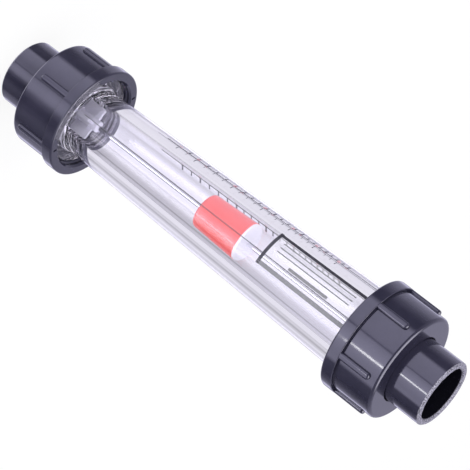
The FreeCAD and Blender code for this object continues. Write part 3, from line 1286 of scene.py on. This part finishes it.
CLEAR_TINT = (0.93, 0.915, 1.0)


def direction(rise: float, turn: float) -> Vector:
    """The direction at a rise over the floor and a turn about Z, in radians."""
    level = math.cos(rise)
    return Vector((level * math.cos(turn), level * math.sin(turn), math.sin(rise)))


@dataclass
class Studio:
    """Pale floor, lamps, a banded surround for gloss and clear plastic, and the camera."""

    lens: float = 183.83
    sensor: float = 36.0
    distance: float = 1.306
    elevation_deg: float = 23.0
    azimuth_deg: float = 0.0
    roll_deg: float = 37.86
    target: tuple = (0.0, 0.0007, 0.1645)
    # lamps as place, size in metres and power in watts
    key: tuple = ((0.9, -0.8, 1.3), 1.0, 9.0)
    fill: tuple = ((0.8, 1.1, 0.6), 1.2, 5.0)
    floor_r: float = 6.0
    floor_colour: tuple = (0.92, 0.92, 0.925)
    floor_glow: float = 1.03
    glow_share: float = 0.85
    paint_behind: tuple = (0.6, 0.6, 0.63)
    paint_before: tuple = (0.96, 0.96, 0.96)
    ceiling: tuple = (6.0, 5.8, 6.8)
    underfoot: tuple = (2.4, 2.35, 2.9)
    clear_low: tuple = (1.5, 1.46, 1.65)
    clear_high: tuple = (7.0, 6.75, 7.9)
    stripe_count: int = 12
    stripe_tone: tuple = (0.26, 0.25, 0.31)
    strip_deg: float = 28.0
    strip_height: float = 0.362
    strip_distance: float = 0.6
    strip_size: tuple = (0.032, 0.085)
    strip_power: float = 0.13

    def camera(self) -> None:
        """A long lens that looks down on the meter, rolled so that the meter lies aslant."""
        rise = math.radians(self.elevation_deg)
        turn = math.radians(self.azimuth_deg)
        back = direction(rise, turn)
        along = direction(rise + math.pi / 2, turn)
        over = back.cross(along)
        roll = math.radians(self.roll_deg)
        right = math.cos(roll) * along + math.sin(roll) * over
        up = back.cross(right)
        data = bpy.data.cameras.new("camera")
        data.lens = self.lens
        data.sensor_width = self.sensor
        data.clip_end = 20.0
        camera = bpy.data.objects.new("camera", data)
        place = Vector(self.target) + back * self.distance
        pose = Matrix((right, up, back)).transposed().to_4x4()
        camera.matrix_world = Matrix.Translation(place) @ pose
        bpy.context.scene.collection.objects.link(camera)
        bpy.context.scene.camera = camera

    def lamp(self, name: str, place: tuple, size: float, power: float) -> None:
        """A square soft lamp that faces the meter."""
        data = bpy.data.lights.new(name, "AREA")
        data.size = size
        data.energy = power
        lamp = bpy.data.objects.new(name, data)
        lamp.location = place
        aim = Vector((0, 0, LENGTH / 2)) - Vector(place)
        lamp.rotation_euler = aim.to_track_quat("-Z", "Y").to_euler()
        lamp.visible_camera = False
        lamp.visible_glossy = False
        lamp.visible_transmission = False
        bpy.context.scene.collection.objects.link(lamp)

    def strip(self) -> None:
        """A narrow lamp, seen only in gloss, for the bright line on the outlet union."""
        data = bpy.data.lights.new("strip", "AREA")
        data.shape = "RECTANGLE"
        data.size, data.size_y = self.strip_size
        data.energy = self.strip_power
        strip = bpy.data.objects.new("strip", data)
        turn, rise = math.radians(self.strip_deg), math.radians(self.elevation_deg)
        way = direction(-rise, turn)
        strip.location = Vector((0, 0, self.strip_height)) + way * self.strip_distance
        strip.rotation_euler = (-way).to_track_quat("-Z", "Y").to_euler()
        strip.visible_camera = False
        strip.visible_diffuse = False
        strip.visible_transmission = False
        bpy.context.scene.collection.objects.link(strip)

    def floor(self) -> None:
        """A wide pale floor that gloss and clear plastic look through to the surround."""
        mesh = bmesh.new()
        bmesh.ops.create_circle(mesh, cap_ends=True, segments=96, radius=self.floor_r)
        material = bpy.data.materials.new("floor_paint")
        shader = Shader(material)
        paint = shader.surface(Base_Color=self.floor_colour, Roughness=0.7)
        white = {"Color": (1.0, 1.0, 1.0), "Strength": self.floor_glow}
        glow = shader.node("ShaderNodeEmission", inputs=white)
        seen = shader.value(shader.node("ShaderNodeLightPath"), "Is Camera Ray")
        layers = {0: seen * self.glow_share, 1: paint, 2: glow.outputs[0]}
        both = shader.node("ShaderNodeMixShader", inputs=layers)
        shader.finish(both.outputs[0])
        data = bpy.data.meshes.new("floor")
        mesh.to_mesh(data)
        mesh.free()
        data.materials.append(material)
        floor = bpy.data.objects.new("floor", data)
        floor.visible_glossy = False
        floor.visible_transmission = False
        bpy.context.scene.collection.objects.link(floor)

    def surround(self) -> None:
        """White to the camera, soft light on paint, bands of light for gloss and clear plastic."""
        world = bpy.data.worlds.new("surround")
        bpy.context.scene.world = world
        shader = Shader(world)
        way = shader.node("ShaderNodeTexCoord").outputs["Generated"]
        parts = shader.node("ShaderNodeSeparateXYZ", inputs={0: way})
        share = shader.value(parts, "Y").angle(shader.value(parts, "X")) / TURN + 0.5
        rise = shader.value(parts, "Z")
        sky = self.bands(shader, share, SKY_BANDS, GLOSS_TINT)
        sky = shader.mix(rise.step(0.72, 0.9), sky, self.ceiling)
        low_walls = self.bands(shader, share, LOW_BANDS, GLOSS_TINT)
        high_walls = self.bands(shader, share, HIGH_BANDS, GLOSS_TINT)
        walls = shader.mix(rise.step(-0.44, -0.38), low_walls, high_walls)
        ground = shader.mix(rise.step(-0.97, -0.9), self.underfoot, walls)
        gloss = shader.mix(rise.step(-0.06, 0.06), ground, sky)
        clear = self.bands(shader, share, CLEAR_BANDS, CLEAR_TINT)
        upper = shader.mix(rise.step(0.52, 0.7), self.clear_low, self.clear_high)
        clear = shader.mix(rise.step(0.0, 0.1), clear, upper)
        path = shader.node("ShaderNodeLightPath")
        is_gloss = shader.value(path, "Is Glossy Ray")
        is_clear = shader.value(path, "Is Transmission Ray")
        is_seen = shader.value(path, "Is Camera Ray")
        forward = shader.value(parts, "X")
        stripe = (share * TURN * self.stripe_count).sine().step(0.6, 0.9) * forward.step(-0.2, 0.0)
        clear = shader.mix(stripe * 0.6, clear, self.stripe_tone)
        level = shader.mix(forward.step(-0.8, 1.0), self.paint_behind, self.paint_before)
        level = shader.mix(is_gloss, level, gloss)
        level = shader.mix(is_clear, level, clear)
        level = shader.mix(is_seen, level, (1.0, 1.0, 1.0))
        light = shader.node("ShaderNodeBackground", inputs={"Color": level, "Strength": 1.0})
        shader.finish(light.outputs[0], "ShaderNodeOutputWorld")

    def bands(self, shader: Shader, share: Value, bands: Sequence[tuple],
              tint: tuple) -> bpy.types.NodeSocket:
        """A surround's light by direction, from (degrees from the camera, level) pairs."""
        peak = max(level for _, level in bands)
        stops = [(0.5 + angle / 360, tuple(level / peak * part for part in tint))
                 for angle, level in bands]
        ramp = shader.node("ShaderNodeValToRGB", {"stops": stops}, {"Fac": share})
        ramp.color_ramp.interpolation = "LINEAR"
        scaled = shader.node("ShaderNodeVectorMath", {"operation": "SCALE"},
                             {0: ramp.outputs[0], "Scale": peak})
        return scaled.outputs[0]

    def build(self) -> None:
        """Sets up camera, lamps, floor and surround, with bounces enough for clear plastic."""
        cycles = bpy.context.scene.cycles
        cycles.max_bounces = 24
        cycles.transmission_bounces = 24
        cycles.glossy_bounces = 16
        self.camera()
        self.lamp("key", *self.key)
        self.lamp("fill", *self.fill)
        self.strip()
        self.floor()
        self.surround()


def dress_hidden_nodes() -> None:
    """Gives the CAD nodes that stay the finish of their slot."""
    finishes = {finish.slot: finish for finish in (WHITE, STEEL, RUBBER)}
    kept = {"float_ballast": STEEL, "float_lower_bush": WHITE, "float_upper_bush": WHITE}
    for end in End:
        kept[f"{end.value}_rod_washer"] = STEEL
        kept[f"{end.value}_rod_nut"] = STEEL
        kept[f"{end.value}_o_ring"] = RUBBER
    for name, finish in kept.items():
        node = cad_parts[name]
        for slot in node.material_slots:
            slot.material = finish.material()
        LOG.info("%s dressed as %s", name, finish.name)


def main() -> None:
    """Builds every piece in order."""
    logging.basicConfig(level=logging.INFO, format="%(message)s")
    bpy.context.scene.view_settings.view_transform = "Standard"
    tube = MeteringTube()
    tube.build()
    GuideWork().build()
    Float().build()
    for end, turn in ((End.INLET, 54.0), (End.OUTLET, 30.0)):
        Connector(end).build()
        UnionNut(end, turn).build()
    wrap = Wrap(tube)
    Seam(wrap).build()
    ScalePrint(wrap).build()
    LabelPrint(wrap).build()
    dress_hidden_nodes()
    Studio().build()


if __name__ == "__main__":
    main()
